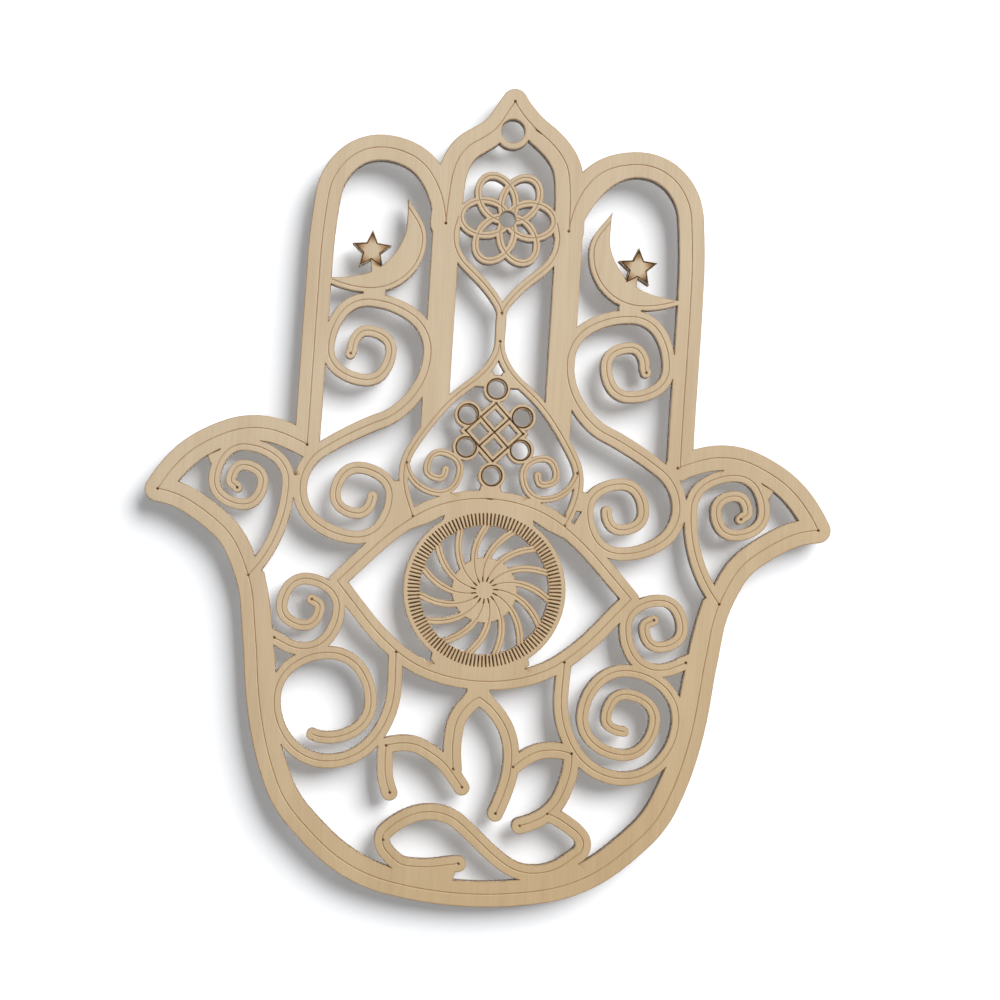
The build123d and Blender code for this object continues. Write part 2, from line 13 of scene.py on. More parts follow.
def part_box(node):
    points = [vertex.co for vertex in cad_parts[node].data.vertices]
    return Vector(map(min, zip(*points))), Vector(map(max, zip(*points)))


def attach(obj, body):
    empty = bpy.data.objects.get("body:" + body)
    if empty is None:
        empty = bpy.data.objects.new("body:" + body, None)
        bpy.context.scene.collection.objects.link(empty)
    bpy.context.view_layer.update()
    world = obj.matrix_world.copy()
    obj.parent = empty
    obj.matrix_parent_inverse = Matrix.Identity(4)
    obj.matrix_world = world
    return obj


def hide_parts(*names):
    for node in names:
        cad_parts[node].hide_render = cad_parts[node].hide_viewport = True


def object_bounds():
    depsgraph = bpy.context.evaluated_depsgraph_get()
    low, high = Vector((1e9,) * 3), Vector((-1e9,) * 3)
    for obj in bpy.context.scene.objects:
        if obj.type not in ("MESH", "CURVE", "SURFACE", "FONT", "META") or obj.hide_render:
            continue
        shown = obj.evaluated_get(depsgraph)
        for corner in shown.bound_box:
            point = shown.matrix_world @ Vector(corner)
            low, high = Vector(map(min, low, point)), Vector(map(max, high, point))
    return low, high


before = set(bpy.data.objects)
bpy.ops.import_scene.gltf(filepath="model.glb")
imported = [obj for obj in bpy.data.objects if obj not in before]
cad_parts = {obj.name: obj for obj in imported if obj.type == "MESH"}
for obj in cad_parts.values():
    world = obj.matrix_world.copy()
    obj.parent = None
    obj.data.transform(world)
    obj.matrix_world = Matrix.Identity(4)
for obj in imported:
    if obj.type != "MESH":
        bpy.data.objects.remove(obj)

bl_info = {
    "name": "Hamsa hand ornament",
    "version": (1, 0, 0),
    "blender": (4, 5, 0),
    "location": "View3D > Sidebar > Hamsa",
    "description": "Scored veneers, charred edges and the stage of a fretted plywood hand",
    "category": "Object",
}

CAD_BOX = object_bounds()
BODY = "root"
MM = 0.001
BACK_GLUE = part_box("back_veneer")[0].y
FRONT_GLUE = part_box("front_veneer")[1].y

# Sizes and places of the scored lines are in millimetres, with heights from the centre of the hanging hole
EYE_Z = -112.2
FLOWER_Z = -21.5
LATTICE_Z = -73.6

# How far the left shoulder lies further in, and the right outer finger further out, than the other side's
LEFT_INSET = 1.1
RIGHT_SPREAD = 0.9

# Lattice: its bars along each diagonal, and the rings round it
LATTICE_HALF = 5.0
LATTICE_BARS = (-LATTICE_HALF, 0.0, LATTICE_HALF)
END_RING = 10.6j
SIDE_RING = 6.65 + 4.0j
RING_RADIUS = 2.5
RING_SIDES = 32

# Crescents with a line inside their outer edge, each moved a little on its own side, and a star by each
CRESCENTS = ((1, 0.2), (-1, -0.8))
CRESCENT_INSET = 1.1
CRESCENT_END = 42.0
STAR_X = 32.6
STAR_Z = -31.3
STAR_TIP = 4.4
STAR_NOTCH = 2.02
STAR_CORNERS = 10

# Flower of crossing petals
PETALS = 6
PETAL_HALF_LENGTH = 5.75
PETAL_HALF_WIDTH = 4.25
PETAL_SIDES = 44

# Eye wheel: each spoke sweeps back by some degrees in a millimetre, and its first points are burnt.
# It crosses its own angle at the level radius. The first tick stands at a small turn.
SPOKES = 15
SPOKE_START = 2.2
SPOKE_STEP = 0.5
SPOKE_POINTS = 28
SPOKE_SWEEP = -2.7
SPOKE_LEVEL = 13.9
SPOKE_BURNT = 3
TICK_TURN = 1.5

# Two places where the laser dwelt on a line
DWELLS = ((5.6 + 0.7j, 6.9 - 0.2j), (-0.9 - 89.9j, 0.7 - 89.9j))

# How far a mark is burnt: 0 is bare wood, and 1 or more is black
SCORE_CHAR = 0.40
BURN_CHAR = 1.15
DOT_CHAR = 1.0
CORNER_CHAR = 1.0
FRONT_EDGE_CHAR = 0.6
BACK_EDGE_CHAR = 0.5
# How fast the burn rises from the side of a groove to its middle
CHAR_RISE = 1.6

# Spacing of the points that the depth of a groove is measured from
SAMPLE_STEP = 0.06
# Longest straight run and largest turn, in radians, between two points of a scored line
RUN_LENGTH = 2.5
RUN_TURN = 0.12
# Headings that differ less count as parallel, and arcs that lean less as straight
PARALLEL = 1e-6
STRAIGHT = 1e-4
# Points nearer than this are one point, in metres in the solids and in millimetres in a face
SAME_CORNER = 1e-6
SAME_SPOT = 1e-5

# Scorched strip along a cut edge: the shortest bisector of a corner that it turns. The others are shares of
# its width: the longest mitre, the least distance from other edges, and the ring where a corner breaks it.
LEAST_BISECTOR = 0.5
LONGEST_MITRE = 1.6
LEAST_CLEARANCE = 0.75
CORNER_RING = 1.3
# Sides of that ring and of a burnt dot
CORNER_SIDES = 8
DOT_SIDES = 10
# A turn of the cut beyond which its corner is burnt, and a crease beyond which the edges are shaded apart
SHARP_TURN = radians(40)
CREASE = radians(32)

Groove = namedtuple("Groove", "points closed half_width depth char")


# Lines of the design: stations of x, z and heading, joined by pairs of tangent arcs


def dot(a, b):
    """Gives the dot product of two plane vectors held as complex numbers."""
    return (a * b.conjugate()).real


def turned(degrees):
    """Gives the unit vector of a heading."""
    return cmath.exp(1j * radians(degrees))


def palm(x, rise, heading):
    """Gives a station whose height is counted from the centre of the eye."""
    return (x, EYE_Z + rise, heading)


def volute(x, z, radius, start, quarters, turn=-1, shrink=1.0, step=0.0):
    """Gives a station at each quarter turn of a scroll that winds inwards."""
    stations = []
    for quarter in range(quarters + 1):
        angle = start + 90 * turn * quarter
        spot = complex(x, z) + radius * turned(angle)
        stations.append((spot.real, spot.imag, angle + 90 * turn))
        radius = radius * shrink - step
    return stations


def mirrored(stations):
    """Gives the same line on the other side of the hand."""
    return [(-x, z, 180 - heading) for x, z, heading in stations]


def biarcs(stations):
    """Gives the arcs between the stations, each as its start, first tangent and end."""
    arcs = []
    for (x0, z0, heading0), (x1, z1, heading1) in zip(stations, stations[1:]):
        start, end = complex(x0, z0), complex(x1, z1)
        first, last = turned(heading0), turned(heading1)
        span = end - start
        along = dot(span, first + last)
        across = 2 * (1 - dot(first, last))
        if across < PARALLEL:
            reach = dot(span, span) / (2 * along)
        else:
            reach = (sqrt(along**2 + across * dot(span, span)) - along) / across
        joint = (start + end + (first - last) * reach) / 2
        arcs.append((start, first, joint))
        arcs.append((joint, (end - last * reach) - (start + first * reach), end))
    return arcs


def trace(stations):
    """Gives points along the arcs that join the stations."""
    points = [complex(*stations[0][:2])]
    for start, tangent, end in biarcs(stations):
        chord = end - start
        lean = cmath.phase(chord / tangent)
        count = max(1, ceil(abs(2 * lean) / RUN_TURN), ceil(abs(chord) / RUN_LENGTH))
        for k in range(1, count + 1):
            share = k / count
            if abs(lean) < STRAIGHT:
                points.append(start + chord * share)
            else:
                span = abs(chord) * sin(lean * share) / sin(lean)
                points.append(start + span * tangent / abs(tangent) * cmath.exp(1j * lean * share))
    return points


def sideways(points, distance, closed=False):
    """Gives the points moved to the left of their line."""
    last = len(points) - 1
    moved = []
    for k, point in enumerate(points):
        before = points[k - 1] if k or closed else point
        after = points[k + 1] if k < last else points[0] if closed else point
        way = after - before
        moved.append(point + 1j * way / abs(way) * distance)
    return moved


def ring(centre, radius, count=40):
    """Gives points round a circle."""
    return [centre + radius * cmath.exp(1j * tau * k / count) for k in range(count)]


def paired_runs():
    """Gives the middle lines of the bands that are alike on both sides, drawn on the right."""
    thumb = [palm(45.4, 32.7, 25), palm(57.3, 36, 0), palm(70.0, 31.8, -31), palm(80.9, 19.7, -62)]
    wrist = [
        palm(80.9, 19.7, 186),
        palm(64.9, 11.9, 219.5),
        palm(57.7, 0.1, 250),
        palm(55.0, -14.8, 262),
        palm(53.5, -27.8, 262),
        palm(47.6, -49.7, 247),
        palm(35.7, -64.1, 221),
        palm(0, -74.3, 180),
    ]
    lip = [
        (12.15, -21.8, -75),
        (12.9, -26.2, -92),
        (9.5, -33.4, -138),
        (3.0, -39.6, -130),
        (0, -45.0, -95),
    ]
    belly = [
        (0, -51.4, -88),
        (3.2, -59.0, -50),
        palm(9.6, 47.4, -42.5),
        palm(16.3, 39.3, -56),
        palm(21.5, 27.2, -90),
        palm(18.6, 16.9, -114),
    ]
    curl = [palm(21.0, 29.9, -100)] + volute(12.7, EYE_Z + 28.9, 5.9, -90, 5, step=0.9)
    finger_coil = volute(32.2, -55.4, 15.5, 180, 6, shrink=0.784) + [(36.2, -56.7, -84)]
    lid_coil = [palm(46.5, 22.5, -90)] + volute(32.3, EYE_Z + 21.2, 10.3, -90, 5, shrink=0.81)
    bend_x = (finger_coil[0][0] + lid_coil[0][0]) / 2 - 0.2
    bend_z = (finger_coil[0][1] + lid_coil[0][1]) / 2 - 1.6
    hip = (finger_coil[0][0] + 7.5, bend_z + 3.8, 141)
    thumb_coil = volute(60.2, EYE_Z + 23.0, 10.9, 180, 6, shrink=0.81) + [palm(61.7, 21.2, -125)]
    side_coil = volute(43.5, EYE_Z - 6.7, 10.3, -90, 5, shrink=0.815) + [palm(41.9, -4.8, 25)]
    return [
        thumb,
        wrist,
        lip,
        belly,
        curl,
        [(bend_x, bend_z, -27)] + lid_coil,
        [(bend_x, bend_z, 153), hip] + finger_coil,
        [palm(57.7, 0.1, 131)] + thumb_coil,
        [palm(50.4, -14.7, 206)] + side_coil,
        [palm(0, 22.3, 0), palm(18.3, 16.8, -35), palm(36.0, 0, -46.5)],
        [palm(0, -22.3, 0), palm(20.5, -16.1, 37), palm(36.0, 0, 49)],
    ]


def shoulder(inset):
    """Gives the middle line of the rim from the fingertip down to the cleft."""
    return [
        (0, 7.2, -58),
        (7.3 - inset, -0.5 - 0.85 * inset, -35),
        (12.55 - 0.5 * inset, -5.7 - 0.3 * inset, -56),
        (14.85 - 0.3 * inset, -14.5, -86),
        (15.05, -23.5, -90),
    ]


def outer_finger(spread):
    """Gives the middle line of the rim from the cleft over the outer finger to the thumb."""
    return [
        (15.05, -23.5, 86),
        (19.55, -11.3, 52),
        (31.2 + 0.7 * spread, -6.1, 0),
        (44.0 + spread, -18.5, -84),
        (45.0 + spread, -34.0, -89.4),
        palm(45.4 + 0.6 * spread, 32.7, -89.4),
    ]


def single_runs():
    """Gives the middle lines of the fingers, the lower scrolls, the lotus and the ribbon."""
    coil = volute(36.3, EYE_Z - 29.3, 14.7, -90, 8, turn=1, step=1.45)
    stem = [palm(20.6, -16.4, -90), palm(20.4, -25, -90)]
    short_end = [(39.7, coil[4][1] + 0.6, 24)]
    return [
        shoulder(0),
        mirrored(shoulder(LEFT_INSET)),
        outer_finger(RIGHT_SPREAD),
        mirrored(outer_finger(0)),
        stem + coil,
        mirrored(stem + coil[:5] + short_end),
        [palm(0.4, -26.2, -28), palm(6.7, -32.1, -57), palm(9.2, -41.3, -90), palm(6.1, -54.3, -112)],
        [palm(0.4, -26.2, 205), palm(-4.2, -31.0, 243), palm(-5.4, -37.6, 268), palm(-4.9, -44.1, 277)],
        [palm(-21.6, -39.3, 18), palm(-16.5, -38.4, 0), palm(-9.3, -41.1, -32), palm(-2.5, -48.4, -54)],
        [palm(-21.6, -39.3, -95), palm(-21.5, -45.4, -86), palm(-20.0, -50.7, -66)],
        [palm(9.7, -42.7, 44), palm(14.5, -39.1, 27), palm(20.0, -38.0, 0), palm(23.8, -38.6, -14)],
        [palm(23.8, -38.6, -84), palm(23.4, -44.7, -104), palm(20.2, -52.1, -129), palm(12.2, -57.0, -164)],
        [
            palm(18.8, -53.6, -14),
            palm(25.5, -57.0, -34),
            palm(28.1, -60.6, -88),
            palm(24.2, -65.4, -140),
            palm(15.5, -68.4, 180),
            palm(4.0, -62.6, 138),
            palm(-9.2, -54.8, 180),
            palm(-18.9, -58.7, -140),
            palm(-21.1, -62.0, -90),
            palm(-17.4, -67.3, -36),
            palm(-11.5, -68.4, 0),
            palm(-2.2, -67.1, 8),
        ],
    ]


def crescent_back(shift):
    """Gives the outer edge of a crescent drawn on the right, with the wood on its left."""
    return [
        (25.4 + shift, -18.1, -128),
        (20.2 + shift, -28.2, -90),
        (33.5 + 0.5 * shift, -41.6, 0),
        (43.9, -39.4, 22),
    ]


def burnt_dots():
    """Gives the places where the score starts, stops or turns, which are burnt deeper."""
    paired = [
        7.2j,
        15.05 - 23.5j,
        45.4 - 79.5j,
        80.9 - 92.5j,
        57.7 - 112.1j,
        50.4 - 126.9j,
        20.9 - 82.3j,
        18.6 - 95.3j,
        20.6 - 128.6j,
        36.2 - 56.7j,
        61.7 - 91.0j,
        41.9 - 117.0j,
    ]
    dots = [
        -44.5j,
        -51.4j,
        -21.6 - 151.5j,
        23.8 - 150.8j,
        9.7 - 154.9j,
        -4.9 - 156.3j,
        -2.5 - 160.6j,
        -20.0 - 162.9j,
        6.1 - 166.5j,
        12.2 - 169.2j,
        18.8 - 165.8j,
        -20.9 - 174.5j,
        -2.2 - 179.3j,
        -39.7 - 151.4j,
    ]
    for row in LATTICE_BARS:
        for column in LATTICE_BARS:
            dots.append(complex(0, LATTICE_Z) + complex(row, column) * turned(45))
    for spot in paired:
        dots += [spot, -spot.conjugate()]
    return dots


# Node trees: short ways to add their nodes


def place(tree, kind, inputs=None, **settings):
    """Adds a node, sets it up, and links or fills its inputs."""
    node = tree.nodes.new(kind)
    for name, value in settings.items():
        setattr(node, name, value)
    for name, value in (inputs or {}).items():
        if isinstance(value, bpy.types.NodeSocket):
            tree.links.new(value, node.inputs[name])
        else:
            node.inputs[name].default_value = value
    return node


def blended(tree, factor, first, second, how="MIX"):
    """Adds a colour mix and gives its result."""
    return place(
        tree, "ShaderNodeMix", {0: factor, 6: first, 7: second}, data_type="RGBA", blend_type=how
    ).outputs[2]


def ranged(tree, value, low, high, to_low=0.0, to_high=1.0):
    """Adds a clamped change of range and gives its result."""
    inputs = {"Value": value, "From Min": low, "From Max": high, "To Min": to_low, "To Max": to_high}
    return place(tree, "ShaderNodeMapRange", inputs).outputs[0]


def summed(tree, first, factor, second):
    """Gives first times factor plus second."""
    inputs = {0: first, 1: factor, 2: second}
    return place(tree, "ShaderNodeMath", inputs, operation="MULTIPLY_ADD").outputs[0]


def cloud(tree, vector, cell, detail=2.0, roughness=0.55):
    """Adds noise whose cells have the given size along X, Y and Z, and gives its value."""
    scaled = place(tree, "ShaderNodeVectorMath", {0: vector, 1: cell}, operation="DIVIDE").outputs[0]
    inputs = {"Vector": scaled, "Scale": 1.0, "Detail": detail, "Roughness": roughness}
    return place(tree, "ShaderNodeTexNoise", inputs).outputs[0]


def shader_group(name, inputs, outputs):
    """Starts a shader node group with named sockets, and gives it with its entry sockets."""
    tree = bpy.data.node_groups.new(name, "ShaderNodeTree")
    for label, kind, default in inputs:
        socket = tree.interface.new_socket(label, in_out="INPUT", socket_type=kind)
        if default is not None:
            socket.default_value = default
    for label, kind in outputs:
        tree.interface.new_socket(label, in_out="OUTPUT", socket_type=kind)
    return tree, tree.nodes.new("NodeGroupInput").outputs


def once(name, build):
    """Gives a node group by name, and builds it the first time."""
    return bpy.data.node_groups.get(name) or build()


def grouped(tree, group, inputs):
    """Places a shader node group in a material and gives its results."""
    return place(tree, "ShaderNodeGroup", inputs, node_tree=group).outputs


# Geometry Nodes: a mark repeated round a centre


def ring_tree(material):
    """Builds the tree that repeats a mark round the eye or the flower."""
    tree = bpy.data.node_groups.new("ring_of_marks", "GeometryNodeTree")
    tree.interface.new_socket("Mark", in_out="INPUT", socket_type="NodeSocketGeometry")
    count = tree.interface.new_socket("Count", in_out="INPUT", socket_type="NodeSocketInt")
    count.default_value = SPOKES
    tree.interface.new_socket("Start Angle", in_out="INPUT", socket_type="NodeSocketFloat")
    tree.interface.new_socket("Centre", in_out="INPUT", socket_type="NodeSocketVector")
    tree.interface.new_socket("Marks", in_out="OUTPUT", socket_type="NodeSocketGeometry")
    entry = tree.nodes.new("NodeGroupInput").outputs
    step = place(tree, "ShaderNodeMath", {0: tau, 1: entry["Count"]}, operation="DIVIDE")
    index = place(tree, "GeometryNodeInputIndex")
    angle = place(
        tree,
        "ShaderNodeMath",
        {0: index.outputs[0], 1: step.outputs[0], 2: entry["Start Angle"]},
        operation="MULTIPLY_ADD",
    )
    turn = place(tree, "ShaderNodeCombineXYZ", {"Y": angle.outputs[0]})
    dots = place(tree, "GeometryNodePoints", {"Count": entry["Count"], "Position": entry["Centre"]})
    copies = place(
        tree,
        "GeometryNodeInstanceOnPoints",
        {"Points": dots.outputs[0], "Instance": entry["Mark"], "Rotation": turn.outputs[0]},
    )
    whole = place(tree, "GeometryNodeRealizeInstances", {"Geometry": copies.outputs[0]})
    coated = place(tree, "GeometryNodeSetMaterial", {"Geometry": whole.outputs[0], "Material": material})
    place(tree, "NodeGroupOutput", {"Marks": coated.outputs[0]})
    return tree


def marks_round(tree, centre, mark, count, start=0.0, closed=False):
    """Repeats one mark round a centre through the tree, and gives the points of each copy."""
    mesh = bpy.data.meshes.new("mark")
    links = [(k, k + 1) for k in range(len(mark) - 1)]
    if closed:
        links.append((len(mark) - 1, 0))
    mesh.from_pydata([(p.real * MM, 0, p.imag * MM) for p in mark], links, [])
    guide = bpy.data.objects.new("mark", mesh)
    bpy.context.scene.collection.objects.link(guide)
    modifier = guide.modifiers.new("ring_of_marks", "NODES")
    modifier.node_group = tree
    sockets = {item.name: item.identifier for item in tree.interface.items_tree if item.in_out == "INPUT"}
    modifier[sockets["Count"]] = count
    modifier[sockets["Start Angle"]] = radians(start)
    modifier[sockets["Centre"]] = (centre.real * MM, 0, centre.imag * MM)
    depsgraph = bpy.context.evaluated_depsgraph_get()
    made = bpy.data.meshes.new_from_object(guide.evaluated_get(depsgraph))
    guide.modifiers.remove(modifier)
    spots = [complex(v.co.x, v.co.z) / MM for v in made.vertices]
    bpy.data.objects.remove(guide)
    bpy.data.meshes.remove(mesh)
    bpy.data.meshes.remove(made)
    return [spots[k : k + len(mark)] for k in range(0, len(spots), len(mark))]


def scored_grooves(sheet, tree):
    """Gives every scored line of the front face."""
    grooves = []

    def score(points, closed=False, width=sheet.score_width, depth=sheet.score_depth, char=SCORE_CHAR):
        grooves.append(Groove(points, closed, width / MM / 2, depth / MM, char))

    def burn(points, closed=False, width=sheet.ring_width):
        score(points, closed, width, sheet.burn_depth, BURN_CHAR)

    for run in paired_runs():
        score(trace(run))
        score(trace(mirrored(run)))
    for run in single_runs():
        score(trace(run))

    # Crescents and stars, inside their cut edges
    star = []
    for k in range(STAR_CORNERS):
        star.append((STAR_NOTCH if k % 2 else STAR_TIP) * turned(90 + 360 / STAR_CORNERS * k))
    for side, shift in CRESCENTS:
        inset = sideways(trace(crescent_back(shift)), CRESCENT_INSET)[1:]
        score([complex(side * p.real, p.imag) for p in inset if p.real < CRESCENT_END])
        burn([complex(side * STAR_X, STAR_Z) + p for p in star], closed=True, width=sheet.score_width)

    # Lattice and its rings
    middle = complex(0, LATTICE_Z)
    for offset in LATTICE_BARS:
        for way in (turned(45), turned(135)):
            corner = middle + 1j * way * offset
            burn([corner - LATTICE_HALF * way, corner + LATTICE_HALF * way])
    low_ring = SIDE_RING.conjugate()
    for spot in (END_RING, -END_RING, SIDE_RING, low_ring, -low_ring, -SIDE_RING):
        burn(ring(middle + spot, RING_RADIUS, RING_SIDES), closed=True)

    # Flower, eye wheel and the ticks round it
    petal = []
    for k in range(PETAL_SIDES):
        angle = tau * k / PETAL_SIDES
        along = PETAL_HALF_LENGTH + PETAL_HALF_LENGTH * cos(angle)
        petal.append(complex(along, PETAL_HALF_WIDTH * sin(angle)))
    for points in marks_round(tree, complex(0, FLOWER_Z), petal, PETALS, closed=True):
        score(points, closed=True)
    eye = complex(0, EYE_Z)
    spoke = []
    for k in range(SPOKE_POINTS):
        reach = SPOKE_START + SPOKE_STEP * k
        spoke.append(reach * turned(SPOKE_SWEEP * (reach - SPOKE_LEVEL)))
    for points in marks_round(tree, eye, spoke, SPOKES):
        score(points)
        burn(points[:SPOKE_BURNT])
    tick = [complex(sheet.tick_inner / MM, 0), complex(sheet.tick_outer / MM, 0)]
    for points in marks_round(tree, eye, tick, sheet.ticks, start=TICK_TURN):
        burn(points, width=sheet.tick_width)
    for ends in DWELLS:
        burn(list(ends))
    return grooves


# Veneers: a face divided along its outline and its scored lines


def rim_of(triangles):
    """Gives the sides that belong to one triangle only."""
    sides = {side for a, b, c in triangles for side in ((a, b), (b, c), (c, a))}
    return [(a, b) for a, b in sorted(sides) if (b, a) not in sides]


def loops_of(rim):
    """Gives the loops that the sides of a rim make."""
    ahead = {}
    for a, b in rim:
        ahead.setdefault(a, []).append(b)
    loops = []
    while ahead:
        spot = next(iter(ahead))
        loop = []
        while spot in ahead:
            loop.append(spot)
            after = ahead[spot].pop()
            if not ahead[spot]:
                del ahead[spot]
            spot = after
        loops.append(loop)
    return loops


def outline(node, y, outward):
    """Gives the loops of a CAD face at depth y, with the wood on their left, and a test for points."""
    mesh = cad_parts[node].data
    spots = {}
    points = []
    triangles = []
    for face in mesh.polygons:
        corners = [mesh.vertices[v].co for v in face.vertices]
        if all(abs(corner.y - y) < SAME_CORNER for corner in corners):
            triangle = []
            for corner in corners:
                key = (round(corner.x / SAME_CORNER), round(corner.z / SAME_CORNER))
                if key not in spots:
                    spots[key] = len(points)
                    points.append(complex(corner.x, corner.z) / MM)
                triangle.append(spots[key])
            triangles.append(triangle)
    facing = [(a, c, b) if outward > 0 else (a, b, c) for a, b, c in triangles]
    loops = [[points[k] for k in loop] for loop in loops_of(rim_of(facing))]
    tree = BVHTree.FromPolygons([(p.real, 0, p.imag) for p in points], triangles)

    def inside(point):
        return tree.ray_cast(Vector((point.real, 1, point.imag)), Vector((0, -1, 0)))[0] is not None

    return loops, inside


def divided(chains, inside):
    """Divides the wood into triangles whose sides follow the chains of points."""
    points = []
    lines = []
    for chain, closed in chains:
        first = len(points)
        points += [Vector((p.real, p.imag)) for p in chain]
        lines += [(k, k + 1) for k in range(first, len(points) - 1)]
        if closed:
            lines.append((len(points) - 1, first))
    spots, _, faces, _, _, _ = delaunay_2d_cdt(points, lines, [], 0, SAME_SPOT)
    spots = [complex(p.x, p.y) for p in spots]
    kept = []
    for face in faces:
        a, b, c = (spots[k] for k in face)
        if inside((a + b + c) / 3):
            area = ((b - a).conjugate() * (c - a)).imag
            kept.append(tuple(face) if area > 0 else tuple(reversed(face)))
    used = sorted({k for face in kept for k in face})
    number = {k: n for n, k in enumerate(used)}
    return [spots[k] for k in used], [tuple(number[k] for k in face) for face in kept]


def sampled(points, closed, step):
    """Gives points at an even spacing along a line."""
    ends = points + points[:1] if closed else points
    spots = []
    for a, b in zip(ends, ends[1:]):
        count = max(1, ceil(abs(b - a) / step))
        spots += [a + (b - a) * k / count for k in range(count)]
    return spots if closed else spots + ends[-1:]


def tree_of(spots):
    """Gives a search tree over points of the plane."""
    tree = KDTree(len(spots))
    for k, spot in enumerate(spots):
        tree.insert((spot.real, spot.imag, 0), k)
    tree.balance()
    return tree


def inset_chains(loops, width, near_edge):
    """Gives the inner side of the scorched strip along the loops, and rings where a corner breaks it."""
    chains = []
    for loop in loops:
        chain = []
        for k, point in enumerate(loop):
            before = point - loop[k - 1]
            after = loop[(k + 1) % len(loop)] - point
            bisector = 1j * (before / abs(before) + after / abs(after))
            clear = False
            if abs(bisector) > LEAST_BISECTOR:
                mitre = min(LONGEST_MITRE, 2 / abs(bisector))
                spot = point + bisector / abs(bisector) * width * mitre
                clear = near_edge.find((spot.real, spot.imag, 0))[2] >= LEAST_CLEARANCE * width
            if clear:
                chain.append(spot)
                continue
            chains.append((ring(point, CORNER_RING * width, CORNER_SIDES), True))
            if chain:
                chains.append((chain, False))
                chain = []
        if chain:
            chains.append((chain, len(chain) == len(loop)))
    return chains


def groove_chains(groove):
    """Gives the bottom, the two sides and the ends of a groove."""
    left, right = (sideways(groove.points, side * groove.half_width, groove.closed) for side in (1, -1))
    chains = [(line, groove.closed) for line in (groove.points, left, right)]
    if not groove.closed:
        for k, way in ((0, 1j), (-1, -1j)):
            cap = groove.points[k] + way * (left[k] - groove.points[k])
            chains.append(([left[k], cap, right[k]], False))
    return chains


def relief(spots, rim, near_edge, marks, wear, strip, edge_char):
    """Gives how deep and how burnt each point of a face is."""
    near_mark = tree_of([spot for spot, groove in marks])
    reach = max((groove.half_width for spot, groove in marks), default=0)
    after = dict(rim)
    depths = []
    chars = []
    for k, spot in enumerate(spots):
        key = (spot.real, spot.imag, 0)
        if k in after:
            depth, char = wear, edge_char
        else:
            depth = 0.0
            char = edge_char * max(0.0, 1 - near_edge.find(key)[2] / strip)
            for _, index, distance in near_mark.find_range(key, reach):
                groove = marks[index][1]
                share = 1 - distance / groove.half_width
                depth = max(depth, groove.depth * share)
                char = max(char, groove.char * min(1.0, CHAR_RISE * share))
        depths.append(depth)
        chars.append(char)

    # Darker burns at the sharp corners of the cut
    for a, b in rim:
        way, onward = spots[b] - spots[a], spots[after[b]] - spots[b]
        if abs(cmath.phase(onward / way)) > SHARP_TURN:
            chars[b] = CORNER_CHAR
    return depths, chars


def veneer(name, node, outward, grooves, dots, sheet, strip, edge_char):
    """Makes a veneer as a closed mesh, with grooves, burnt dots and a scorched strip in its outer face."""
    low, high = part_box(node)
    outer, inner = (low.y, high.y) if outward < 0 else (high.y, low.y)
    loops, inside = outline(node, outer, outward)
    loops = [sampled(loop, True, RUN_LENGTH) for loop in loops]
    near_edge = tree_of([spot for loop in loops for spot in sampled(loop, True, SAMPLE_STEP)])

    # Face: every edge, groove and dot is a chain that the triangles follow
    chains = [(loop, True) for loop in loops] + inset_chains(loops, strip, near_edge)
    marks = []
    for groove in grooves:
        chains += groove_chains(groove)
        marks += [(spot, groove) for spot in sampled(groove.points, groove.closed, SAMPLE_STEP)]
    pit = Groove([], True, sheet.dot_radius / MM, sheet.dot_depth / MM, DOT_CHAR)
    for spot in dots:
        chains += [([spot], False), (ring(spot, pit.half_width, DOT_SIDES), True)]
        marks.append((spot, pit))
    spots, faces = divided(chains, inside)
    rim = rim_of(faces)
    depths, chars = relief(spots, rim, near_edge, marks, sheet.edge_round / MM, strip, edge_char)

    # Glued side and cut edges
    under, under_faces = divided([([spots[k] for k in loop], True) for loop in loops_of(rim)], inside)
    found = tree_of(under)
    below = {a: len(spots) + found.find((spots[a].real, spots[a].imag, 0))[1] for a, b in rim}
    verts = [(p.real * MM, outer - outward * d * MM, p.imag * MM) for p, d in zip(spots, depths)]
    verts += [(p.real * MM, inner, p.imag * MM) for p in under]
    walls = [(b, a, below[a], below[b]) for a, b in rim]
    every = faces + [tuple(len(spots) + k for k in reversed(face)) for face in under_faces] + walls
    if outward > 0:
        every = [face[::-1] for face in every]

    mesh = bpy.data.meshes.new(name)
    mesh.from_pydata(verts, [], every)
    char = mesh.attributes.new("char", "FLOAT", "POINT")
    char.data.foreach_set("value", chars + [0.0] * len(under))
    first_wall = len(every) - len(walls)
    mesh.set_sharp_from_angle(angle=CREASE)
    for face in mesh.polygons:
        face.material_index = 1 if face.index >= first_wall else 0
        face.use_smooth = face.index >= first_wall
    mesh.validate()
    piece = bpy.data.objects.new(name, mesh)
    bpy.context.scene.collection.objects.link(piece)
    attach(piece, BODY)
    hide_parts(node)
    return piece


# Finishes

COLOR = "NodeSocketColor"
VALUE = "NodeSocketFloat"
VECTOR = "NodeSocketVector"
GREY = (0.5, 0.5, 0.5, 1)
WHITE = (1, 1, 1, 1)
BACKDROP_WHITE = (0.87, 0.88, 0.90, 1)

# Cells of the wood's figure along X, Y and Z, in metres
FLECK_CELL = (0.0003, 0.0004, 0.0032)
TONE_CELL = (0.011, 0.02, 0.05)
BAND_CELL = (0.0016, 0.01, 0.07)
SCORCH_CELL = (0.0019, 0.0019, 0.0019)
STRIATION_CELL = (0.00035, 0.004, 0.00035)
CORE_PATCH = 0.009
EDGE_PATCH = 0.006

# Shares of the figure in the depth of the wood's tone, and what is taken off
STREAK_SHARE = 0.38
TONE_SHARE = 0.5
BAND_SHARE = 0.2
FLECK_SHARE = 0.12
TONE_LESS = -0.085
